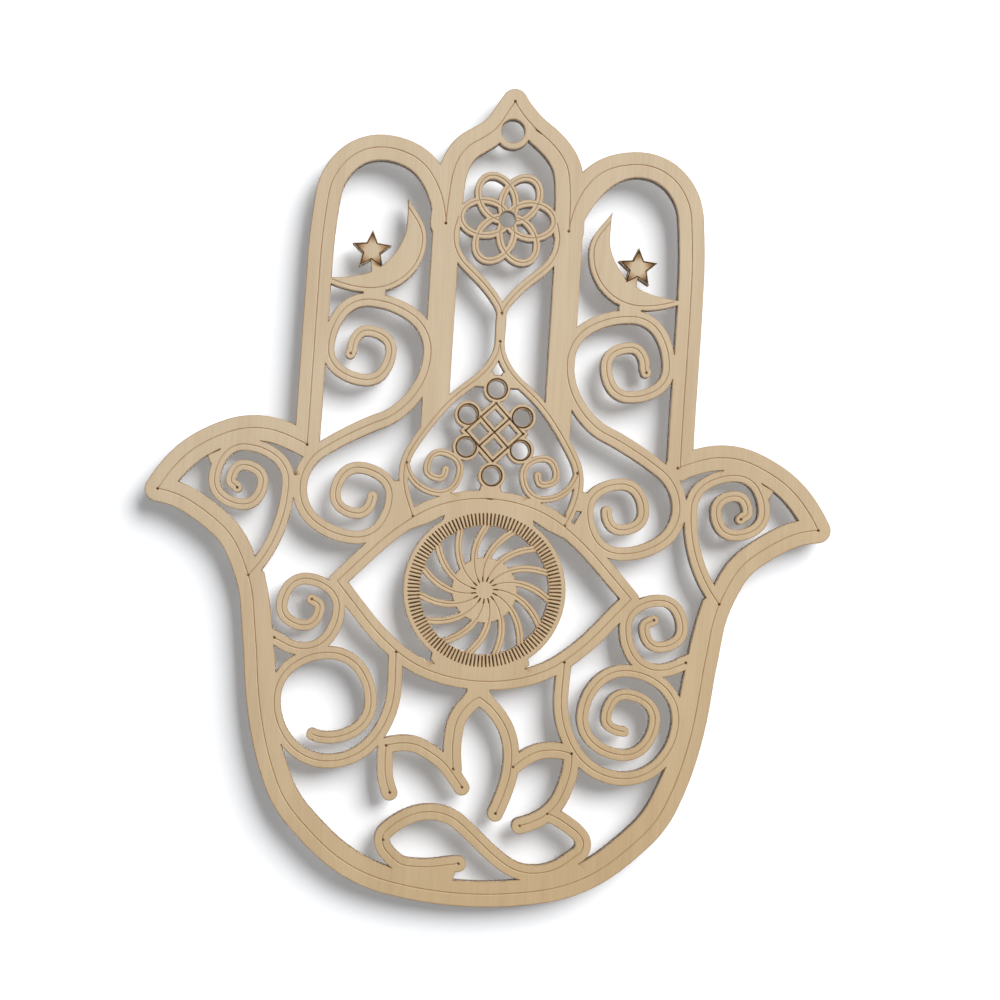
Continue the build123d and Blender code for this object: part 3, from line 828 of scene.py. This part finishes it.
# Painted shade: the way in which the wood gets darker and warmer, towards the base and the right, and how far
# along it that starts and ends
SHADE_WAY = (0.45, 0, -1)
SHADE_START = 0.04
SHADE_END = 0.19

# Shares of striations and patches in the tone of a cut edge, and what is taken off
STRIATION_SHARE = 0.6
PATCH_SHARE = 0.9
EDGE_LESS = -0.25
# How far a glue line is dark, and where it has faded
GLUE_DARK = 0.00003
GLUE_FADE = 0.00011

# Fine relief as strength and distance, and shine
FACE_BUMP = (0.12, 0.0002)
EDGE_BUMP = (0.3, 0.0001)
FACE_SHINE = 0.25
EDGE_SHINE = 0.2


def grain_group():
    """Veneer grain: long streaks, short flecks and slow changes of tone along Z, with painted shade that
    darkens and warms it towards the base and the right.
    """
    tree, entry = shader_group(
        "veneer_grain",
        [
            ("Vector", VECTOR, None),
            ("Pale", COLOR, GREY),
            ("Deep", COLOR, GREY),
            ("Shade", COLOR, GREY),
            ("Streak Width", VALUE, 0.0004),
            ("Streak Length", VALUE, 0.02),
        ],
        [("Color", COLOR), ("Roughness", VALUE), ("Height", VALUE)],
    )
    spot = entry["Vector"]
    width = entry["Streak Width"]
    cell = place(tree, "ShaderNodeCombineXYZ", {"X": width, "Y": width, "Z": entry["Streak Length"]})
    streaks = cloud(tree, spot, cell.outputs[0], 3.0, 0.6)
    flecks = ranged(tree, cloud(tree, spot, FLECK_CELL, 1.0), 0.62, 0.8)
    tone = cloud(tree, spot, TONE_CELL)
    bands = cloud(tree, spot, BAND_CELL)
    mix = summed(tree, streaks, STREAK_SHARE, summed(tree, tone, TONE_SHARE, TONE_LESS))
    mix = summed(tree, bands, BAND_SHARE, mix)
    mix = summed(tree, flecks, FLECK_SHARE, mix)
    color = blended(tree, ranged(tree, mix, 0.1, 0.85), entry["Pale"], entry["Deep"])
    # Painted shade: the colour is multiplied by the tint more and more towards the base and the right, so it
    # is darker and warmer there
    shade_amount = place(tree, "ShaderNodeVectorMath", {0: spot, 1: SHADE_WAY}, operation="DOT_PRODUCT")
    shade_amount = ranged(tree, shade_amount.outputs["Value"], SHADE_START, SHADE_END)
    color = blended(tree, shade_amount, color, entry["Shade"], "MULTIPLY")
    rough = ranged(tree, streaks, 0.3, 0.7, 0.62, 0.78)
    place(tree, "NodeGroupOutput", {"Color": color, "Roughness": rough, "Height": mix})
    return tree


def char_group():
    """Scorch: turns wood brown and then black as its input rises, with broken edges."""
    tree, entry = shader_group(
        "scorch",
        [
            ("Vector", VECTOR, None),
            ("Wood", COLOR, GREY),
            ("Brown", COLOR, GREY),
            ("Black", COLOR, GREY),
            ("Char", VALUE, 0.0),
        ],
        [("Color", COLOR), ("Mask", VALUE)],
    )
    gain = ranged(tree, cloud(tree, entry["Vector"], SCORCH_CELL, 3.0), 0.3, 0.7, 0.72, 1.2)
    char = place(tree, "ShaderNodeMath", {0: entry["Char"], 1: gain}, operation="MULTIPLY").outputs[0]
    brown = blended(tree, ranged(tree, char, 0.0, 0.5), entry["Wood"], entry["Brown"])
    color = blended(tree, ranged(tree, char, 0.42, 1.0), brown, entry["Black"])
    place(tree, "NodeGroupOutput", {"Color": color, "Mask": char})
    return tree


def edge_group():
    """Laser-cut edge: striations across the sheet, patches of lighter brown, and dark glue lines."""
    tree, entry = shader_group(
        "burnt_edge",
        [
            ("Vector", VECTOR, None),
            ("Brown", COLOR, GREY),
            ("Black", COLOR, GREY),
            ("Patch Size", VALUE, EDGE_PATCH),
        ],
        [("Color", COLOR), ("Roughness", VALUE), ("Height", VALUE)],
    )
    spot = entry["Vector"]
    size = entry["Patch Size"]
    striations = cloud(tree, spot, STRIATION_CELL)
    cell = place(tree, "ShaderNodeCombineXYZ", {"X": size, "Y": size, "Z": size})
    patches = cloud(tree, spot, cell.outputs[0])
    mix = summed(tree, striations, STRIATION_SHARE, summed(tree, patches, PATCH_SHARE, EDGE_LESS))
    color = blended(tree, ranged(tree, mix, 0.25, 0.75), entry["Black"], entry["Brown"])
    depth = place(tree, "ShaderNodeSeparateXYZ", {0: spot}).outputs["Y"]
    glue = 0.0
    for level in (BACK_GLUE, FRONT_GLUE):
        gap = place(tree, "ShaderNodeMath", {0: depth, 1: level}, operation="SUBTRACT").outputs[0]
        gap = place(tree, "ShaderNodeMath", {0: gap}, operation="ABSOLUTE").outputs[0]
        near = ranged(tree, gap, GLUE_DARK, GLUE_FADE, 1.0, 0.0)
        glue = place(tree, "ShaderNodeMath", {0: near, 1: glue}, operation="ADD").outputs[0]
    color = blended(tree, glue, color, entry["Black"])
    rough = ranged(tree, striations, 0.3, 0.7, 0.75, 0.92)
    place(tree, "NodeGroupOutput", {"Color": color, "Roughness": rough, "Height": striations})
    return tree


def blank_material(name):
    """Starts a material and gives it with its shader and the place of each point."""
    material = bpy.data.materials.get(name) or bpy.data.materials.new(name)
    material.use_nodes = True
    tree = material.node_tree
    tree.nodes.clear()
    shader = place(tree, "ShaderNodeBsdfPrincipled")
    place(tree, "ShaderNodeOutputMaterial", {"Surface": shader.outputs[0]})
    return material, tree, shader, place(tree, "ShaderNodeTexCoord").outputs["Object"]


def opaque(color):
    """Gives a colour with full alpha."""
    return (*color, 1.0)


def surface(tree, shader, color, look, bump, shine):
    """Links a colour, a roughness and a fine relief to the shader of a material."""
    strength, distance = bump
    inputs = {"Height": look["Height"], "Strength": strength, "Distance": distance}
    fine = place(tree, "ShaderNodeBump", inputs)
    tree.links.new(color, shader.inputs["Base Color"])
    tree.links.new(look["Roughness"], shader.inputs["Roughness"])
    tree.links.new(fine.outputs[0], shader.inputs["Normal"])
    shader.inputs["Specular IOR Level"].default_value = shine


def face_material(finish):
    """Bare veneer with scored and scorched lines."""
    material, tree, shader, spot = blank_material("birch_face")
    grain = grouped(
        tree,
        once("veneer_grain", grain_group),
        {
            "Vector": spot,
            "Pale": opaque(finish.pale_wood),
            "Deep": opaque(finish.deep_wood),
            # Painted shade: a tint that darkens and warms the veneer towards the base and the right
            "Shade": opaque(finish.painted_shade_tint),
            "Streak Width": finish.streak_width,
            "Streak Length": finish.streak_length,
        },
    )
    burn = grouped(
        tree,
        once("scorch", char_group),
        {
            "Vector": spot,
            "Wood": grain["Color"],
            "Brown": opaque(finish.score_brown),
            "Black": opaque(finish.char_black),
            "Char": place(tree, "ShaderNodeAttribute", attribute_name="char").outputs["Fac"],
        },
    )
    surface(tree, shader, burn["Color"], grain, FACE_BUMP, FACE_SHINE)
    return material


def edge_material(name, brown, black, patch):
    """Charred cut edge of one ply."""
    material, tree, shader, spot = blank_material(name)
    edge = grouped(
        tree,
        once("burnt_edge", edge_group),
        {"Vector": spot, "Brown": opaque(brown), "Black": opaque(black), "Patch Size": patch},
    )
    surface(tree, shader, edge["Color"], edge, EDGE_BUMP, EDGE_SHINE)
    return material


def seen_directly(tree):
    """Gives 1 where the camera looks, also by way of a mirror or a clear piece, and 0 for other light."""
    rays = place(tree, "ShaderNodeLightPath").outputs
    seen = 0.0
    for kind in ("Is Camera Ray", "Is Glossy Ray", "Is Transmission Ray"):
        seen = place(tree, "ShaderNodeMath", {0: rays[kind], 1: seen}, operation="MAXIMUM").outputs[0]
    return seen


def backdrop_material(glow):
    """Matt white with a little light of its own, see-through from behind."""
    material = bpy.data.materials.new("backdrop")
    material.use_nodes = True
    tree = material.node_tree
    tree.nodes.clear()
    matt = place(tree, "ShaderNodeBsdfDiffuse", {"Color": BACKDROP_WHITE})
    strength = ranged(tree, seen_directly(tree), 0.0, 1.0, 0.0, glow)
    light = place(tree, "ShaderNodeEmission", {"Color": WHITE, "Strength": strength})
    white = place(tree, "ShaderNodeAddShader", {0: matt.outputs[0], 1: light.outputs[0]})
    clear = place(tree, "ShaderNodeBsdfTransparent")
    behind = place(tree, "ShaderNodeNewGeometry").outputs["Backfacing"]
    mix = place(tree, "ShaderNodeMixShader", {0: behind, 1: white.outputs[0], 2: clear.outputs[0]})
    place(tree, "ShaderNodeOutputMaterial", {"Surface": mix.outputs[0]})
    return material


def coat(piece, *materials):
    """Gives a piece its materials."""
    piece.data.materials.clear()
    for material in materials:
        piece.data.materials.append(material)


# Settings


class HamsaSheetSettings(bpy.types.PropertyGroup):
    """Sizes of the scored and burnt detail."""

    score_width: FloatProperty(
        name="Score width",
        description="Width of a scored line",
        default=0.00044,
        unit="LENGTH",
        precision=5,
    )
    score_depth: FloatProperty(
        name="Score depth",
        description="Depth of a scored line",
        default=0.00012,
        unit="LENGTH",
        precision=5,
    )
    dot_radius: FloatProperty(
        name="Dot radius", description="Radius of a burnt dot", default=0.00048, unit="LENGTH", precision=5
    )
    dot_depth: FloatProperty(
        name="Dot depth", description="Depth of a burnt dot", default=0.00030, unit="LENGTH", precision=5
    )
    edge_round: FloatProperty(
        name="Edge wear",
        description="How far a cut edge is worn back",
        default=0.00005,
        unit="LENGTH",
        precision=5,
    )
    front_strip: FloatProperty(
        name="Front scorch",
        description="Width of the scorch on the front",
        default=0.00026,
        unit="LENGTH",
        precision=5,
    )
    back_strip: FloatProperty(
        name="Back scorch",
        description="Width of the scorch on the back",
        default=0.00050,
        unit="LENGTH",
        precision=5,
    )
    ring_width: FloatProperty(
        name="Ring width",
        description="Width of the lattice and ring lines",
        default=0.00050,
        unit="LENGTH",
        precision=5,
    )
    burn_depth: FloatProperty(
        name="Burn depth", description="Depth of a dark line", default=0.00022, unit="LENGTH", precision=5
    )
    ticks: IntProperty(name="Ticks", description="Marks round the iris", default=120, min=3)
    tick_inner: FloatProperty(
        name="Tick start",
        description="Radius at which the ticks start",
        default=0.0160,
        unit="LENGTH",
        precision=5,
    )
    tick_outer: FloatProperty(
        name="Tick end",
        description="Radius at which the ticks end",
        default=0.0187,
        unit="LENGTH",
        precision=5,
    )
    tick_width: FloatProperty(
        name="Tick width", description="Width of a tick", default=0.00062, unit="LENGTH", precision=5
    )


class HamsaFinishSettings(bpy.types.PropertyGroup):
    """Colours and grain of the wood."""

    pale_wood: FloatVectorProperty(
        name="Pale wood",
        description="Veneer between the streaks",
        subtype="COLOR",
        default=(0.625, 0.51, 0.362),
    )
    deep_wood: FloatVectorProperty(
        name="Deep wood", description="Veneer in the streaks", subtype="COLOR", default=(0.45, 0.335, 0.212)
    )
    # Painted shade: the tint that darkens and warms the veneer towards the base and the right
    painted_shade_tint: FloatVectorProperty(
        name="Warm tint",
        description="Tint of the veneer towards the base",
        subtype="COLOR",
        default=(0.92, 0.85, 0.71),
    )
    score_brown: FloatVectorProperty(
        name="Score brown", description="Lightly burnt wood", subtype="COLOR", default=(0.34, 0.20, 0.088)
    )
    char_black: FloatVectorProperty(
        name="Char", description="Deeply burnt wood", subtype="COLOR", default=(0.020, 0.011, 0.006)
    )
    edge_brown: FloatVectorProperty(
        name="Edge brown",
        description="Lighter parts of a cut edge",
        subtype="COLOR",
        default=(0.085, 0.045, 0.022),
    )
    core_brown: FloatVectorProperty(
        name="Core brown",
        description="Lighter parts of the core's edge",
        subtype="COLOR",
        default=(0.12, 0.066, 0.033),
    )
    streak_width: FloatProperty(
        name="Streak width",
        description="Width of a grain streak",
        default=0.00042,
        unit="LENGTH",
        precision=5,
    )
    streak_length: FloatProperty(
        name="Streak length",
        description="Length of a grain streak",
        default=0.018,
        unit="LENGTH",
        precision=4,
    )


class HamsaStageSettings(bpy.types.PropertyGroup):
    """Wall, floor, lights and camera."""

    wall_gap: FloatProperty(
        name="Wall gap",
        description="From the back face to the wall",
        default=0.003,
        unit="LENGTH",
        precision=4,
    )
    wall_glow: FloatProperty(
        name="Wall glow",
        description="Strength of the wall's own light, as seen by the camera",
        default=0.22,
    )
    floor_height: FloatProperty(
        name="Floor height", description="Height of the floor", default=-0.275, unit="LENGTH", precision=3
    )
    key_place: FloatVectorProperty(
        name="Key light", description="Place of the key light", subtype="XYZ", default=(2.10, -2.46, 2.24)
    )
    key_size: FloatProperty(
        name="Key size", description="Side of the key light", default=3.1, unit="LENGTH"
    )
    key_power: FloatProperty(name="Key power", description="Watts of the key light", default=298.0)
    back_place: FloatVectorProperty(
        name="Back light",
        description="Place of the light behind the wall",
        subtype="XYZ",
        default=(0.0, 3.0, 0.0),
    )
    back_size: FloatProperty(
        name="Back size", description="Side of the back light", default=1.5, unit="LENGTH"
    )
    back_power: FloatProperty(name="Back power", description="Watts of the back light", default=72.0)
    fill: FloatProperty(name="Fill", description="Strength of the light from all round", default=0.12)
    eye_place: FloatVectorProperty(
        name="Camera",
        description="Place of the camera",
        subtype="XYZ",
        default=(-0.036885, -0.480, -0.105883),
    )
    eye_turn: FloatVectorProperty(
        name="Camera turn",
        description="Pitch, roll and yaw in degrees",
        default=(-0.2178, -3.5966, -1.6378),
    )
    lens: FloatProperty(name="Lens", description="Focal length in millimetres", default=70.5)
    shift: FloatVectorProperty(
        name="Shift", description="Shift of the frame", size=2, default=(0.10958, 0.06594)
    )


# Stage: what the ornament is seen against

# Wall, floor and the nearest distance that the camera sees, in metres
WALL_TOP = 1.6
WALL_HALF_WIDTH = 2.2
FLOOR_HALF_DEPTH = 2.4
NEAREST_SEEN = 0.01
# Width of the camera's sensor, in millimetres
SENSOR_WIDTH = 36
# How many times the light of a lamp may pass on from a surface
KEY_BOUNCES = 12
BACK_BOUNCES = 0


def backdrop_plane(name, corners, material):
    """Makes the wall or the floor, which takes shadows and sends no light to the wood."""
    mesh = bpy.data.meshes.new(name)
    mesh.from_pydata(corners, [], [(0, 1, 2, 3)])
    plane = bpy.data.objects.new(name, mesh)
    bpy.context.scene.collection.objects.link(plane)
    coat(plane, material)
    plane.visible_diffuse = False
    plane.visible_glossy = False
    plane.visible_shadow = False


def area_light(name, spot, size, power, bounces):
    """Makes a square light that points at the middle of the ornament."""
    lamp = bpy.data.lights.new(name, "AREA")
    lamp.size = size
    lamp.energy = power
    lamp.cycles.max_bounces = bounces
    light = bpy.data.objects.new(name, lamp)
    light.location = spot
    middle = (CAD_BOX[0] + CAD_BOX[1]) / 2
    light.rotation_euler = (middle - light.location).to_track_quat("-Z", "Y").to_euler()
    bpy.context.scene.collection.objects.link(light)


def studio_world(fill):
    """Makes a world that is white to the camera and gives a weak light from all round."""
    world = bpy.data.worlds.new("studio")
    world.use_nodes = True
    tree = world.node_tree
    tree.nodes.clear()
    strength = ranged(tree, seen_directly(tree), 0.0, 1.0, fill, 1.0)
    sky = place(tree, "ShaderNodeBackground", {"Color": WHITE, "Strength": strength})
    place(tree, "ShaderNodeOutputWorld", {"Surface": sky.outputs[0]})
    return world


def photo_camera(stage):
    """Makes the camera with the place, turn and frame of the settings."""
    lens = bpy.data.cameras.new("camera")
    lens.lens = stage.lens
    lens.sensor_width = SENSOR_WIDTH
    lens.shift_x, lens.shift_y = stage.shift
    lens.clip_start = NEAREST_SEEN
    camera = bpy.data.objects.new("camera", lens)
    pitch, roll, yaw = (radians(angle) for angle in stage.eye_turn)
    turn = Matrix.Rotation(yaw, 4, "Z") @ Matrix.Rotation(pitch, 4, "X") @ Matrix.Rotation(roll, 4, "Y")
    level = Matrix.Rotation(radians(90), 4, "X")
    camera.matrix_world = Matrix.Translation(stage.eye_place) @ turn @ level
    bpy.context.scene.collection.objects.link(camera)
    return camera


# Operators


class HAMSA_OT_core_ply(bpy.types.Operator):
    """Give the core ply its charred edge"""

    bl_idname = "hamsa.core_ply"
    bl_label = "Core ply"

    def execute(self, context):
        finish = context.scene.hamsa_finish
        charred = edge_material("charred_core", finish.core_brown, finish.char_black, CORE_PATCH)
        coat(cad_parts["core_ply"], charred)
        return {"FINISHED"}


class HAMSA_OT_veneers(bpy.types.Operator):
    """Make the scored front veneer and the plain back veneer"""

    bl_idname = "hamsa.veneers"
    bl_label = "Veneers"

    def execute(self, context):
        sheet = context.scene.hamsa_sheet
        finish = context.scene.hamsa_finish
        face = face_material(finish)
        edge = edge_material("charred_edge", finish.edge_brown, finish.char_black, EDGE_PATCH)
        grooves = scored_grooves(sheet, ring_tree(face))
        dots = burnt_dots()
        front_strip, back_strip = sheet.front_strip / MM, sheet.back_strip / MM
        front = veneer("scored_front", "front_veneer", -1, grooves, dots, sheet, front_strip, FRONT_EDGE_CHAR)
        back = veneer("plain_back", "back_veneer", 1, [], [], sheet, back_strip, BACK_EDGE_CHAR)
        for piece in (front, back):
            coat(piece, face, edge)
        return {"FINISHED"}


class HAMSA_OT_stage(bpy.types.Operator):
    """Set up the wall, the floor, the lights and the camera"""

    bl_idname = "hamsa.stage"
    bl_label = "Stage"

    def execute(self, context):
        stage = context.scene.hamsa_stage
        backdrop = backdrop_material(stage.wall_glow)
        wall_y = CAD_BOX[1].y + stage.wall_gap
        bottom, top = stage.floor_height, WALL_TOP
        side, deep = WALL_HALF_WIDTH, FLOOR_HALF_DEPTH
        wall = [(-side, wall_y, bottom), (side, wall_y, bottom), (side, wall_y, top), (-side, wall_y, top)]
        floor = [(-side, -deep, bottom), (side, -deep, bottom), (side, deep, bottom), (-side, deep, bottom)]
        backdrop_plane("wall", wall, backdrop)
        backdrop_plane("floor", floor, backdrop)
        area_light("key", stage.key_place, stage.key_size, stage.key_power, KEY_BOUNCES)
        area_light("back", stage.back_place, stage.back_size, stage.back_power, BACK_BOUNCES)
        context.scene.world = studio_world(stage.fill)
        context.scene.view_settings.view_transform = "Standard"
        context.scene.camera = photo_camera(stage)
        return {"FINISHED"}


class HAMSA_PT_panel(bpy.types.Panel):
    """Settings and steps of the ornament"""

    bl_idname = "HAMSA_PT_panel"
    bl_label = "Hamsa hand"
    bl_space_type = "VIEW_3D"
    bl_region_type = "UI"
    bl_category = "Hamsa"

    def draw(self, context):
        for step in (HAMSA_OT_core_ply, HAMSA_OT_veneers, HAMSA_OT_stage):
            self.layout.operator(step.bl_idname)
        for settings in (context.scene.hamsa_sheet, context.scene.hamsa_finish, context.scene.hamsa_stage):
            box = self.layout.box()
            for name in settings.__annotations__:
                box.prop(settings, name)


CLASSES = (
    HamsaSheetSettings,
    HamsaFinishSettings,
    HamsaStageSettings,
    HAMSA_OT_core_ply,
    HAMSA_OT_veneers,
    HAMSA_OT_stage,
    HAMSA_PT_panel,
)


def register():
    """Registers the classes and the settings."""
    for item in CLASSES:
        bpy.utils.register_class(item)
    bpy.types.Scene.hamsa_sheet = PointerProperty(type=HamsaSheetSettings)
    bpy.types.Scene.hamsa_finish = PointerProperty(type=HamsaFinishSettings)
    bpy.types.Scene.hamsa_stage = PointerProperty(type=HamsaStageSettings)


def unregister():
    """Removes the settings and the classes."""
    del bpy.types.Scene.hamsa_stage
    del bpy.types.Scene.hamsa_finish
    del bpy.types.Scene.hamsa_sheet
    for item in reversed(CLASSES):
        bpy.utils.unregister_class(item)


def main():
    """Makes the ornament and its stage."""
    register()
    bpy.ops.hamsa.core_ply()
    bpy.ops.hamsa.veneers()
    bpy.ops.hamsa.stage()


if __name__ == "__main__":
    main()
